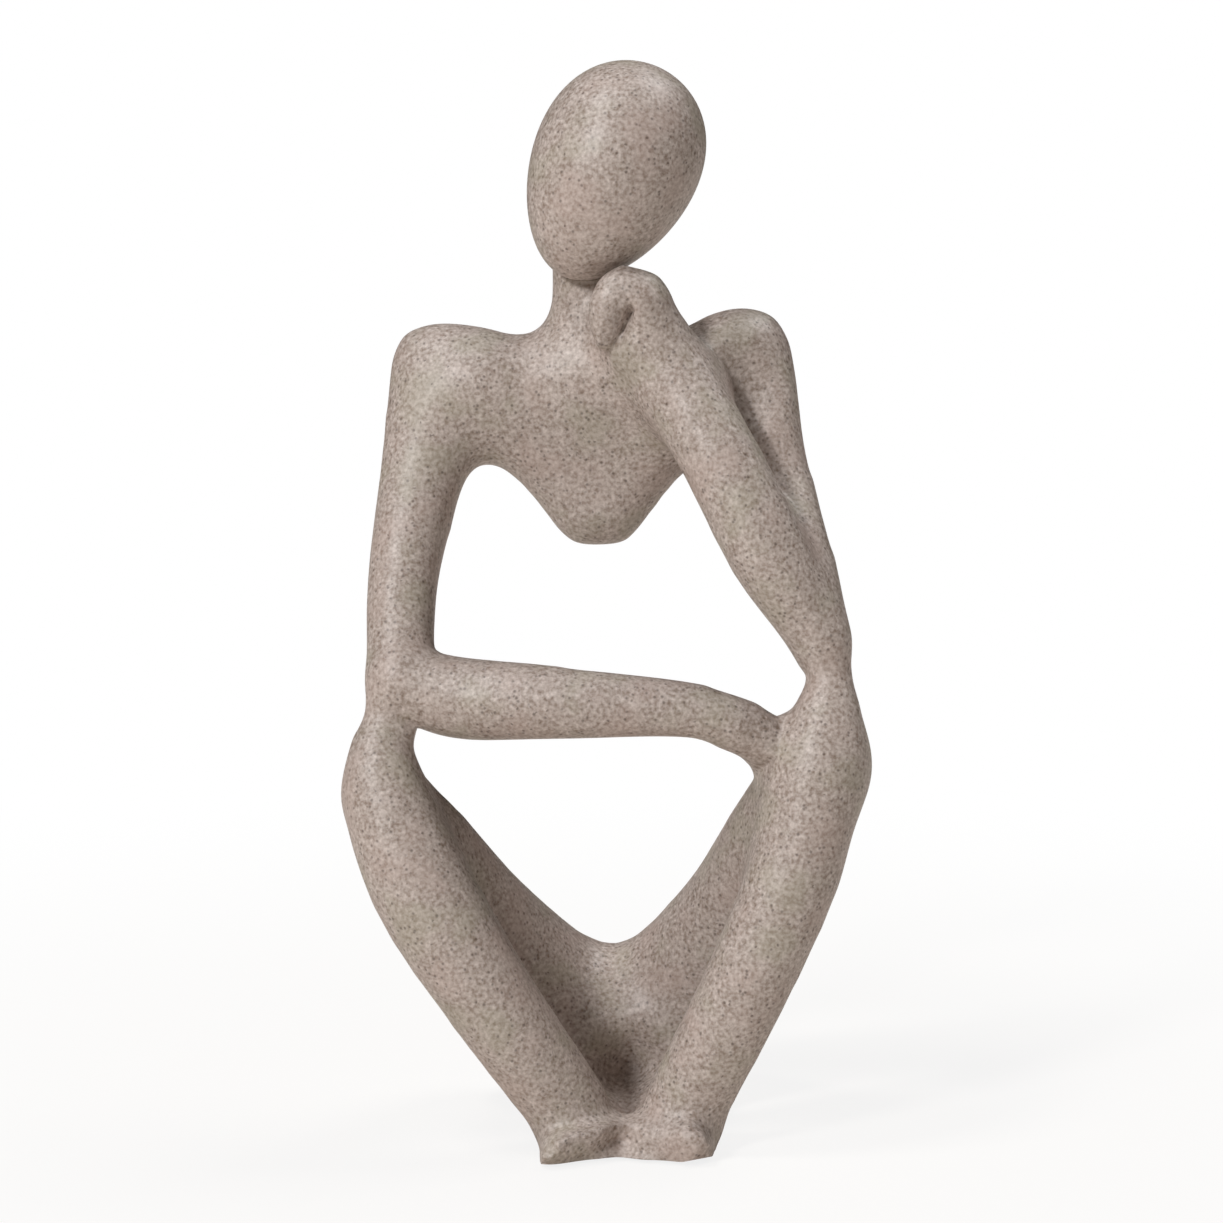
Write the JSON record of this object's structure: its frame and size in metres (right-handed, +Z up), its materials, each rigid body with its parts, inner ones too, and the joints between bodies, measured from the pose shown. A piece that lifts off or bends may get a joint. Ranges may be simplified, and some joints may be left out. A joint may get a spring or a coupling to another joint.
{
  "type": "seated figure sculpture",
  "caption": "Slender stone-effect seated figure with an egg-shaped head, chin resting on one hand and the other arm laid across the knees.",
  "frame": {"origin": "middle of the figure's outline seen from above, on the surface its pads stand on", "axes": "+Z up, the figure faces -Y, +X is to the viewer's right when looking at the front"},
  "size_m": [0.1248, 0.0764, 0.2557],
  "materials": {
    "stone_resin": "satin stone-effect resin with dark and pale speckles",
    "head_resin": "satin stone-effect resin, polished a little smoother than the body",
    "pad_rubber": "matte"
  },
  "bodies": {
    "root": {"body_casting": "stone_resin", "head_casting": "head_resin", "left_foot_pad": "pad_rubber", "right_foot_pad": "pad_rubber", "left_seat_pad": "pad_rubber", "right_seat_pad": "pad_rubber"}
  },
  "joints": []
}
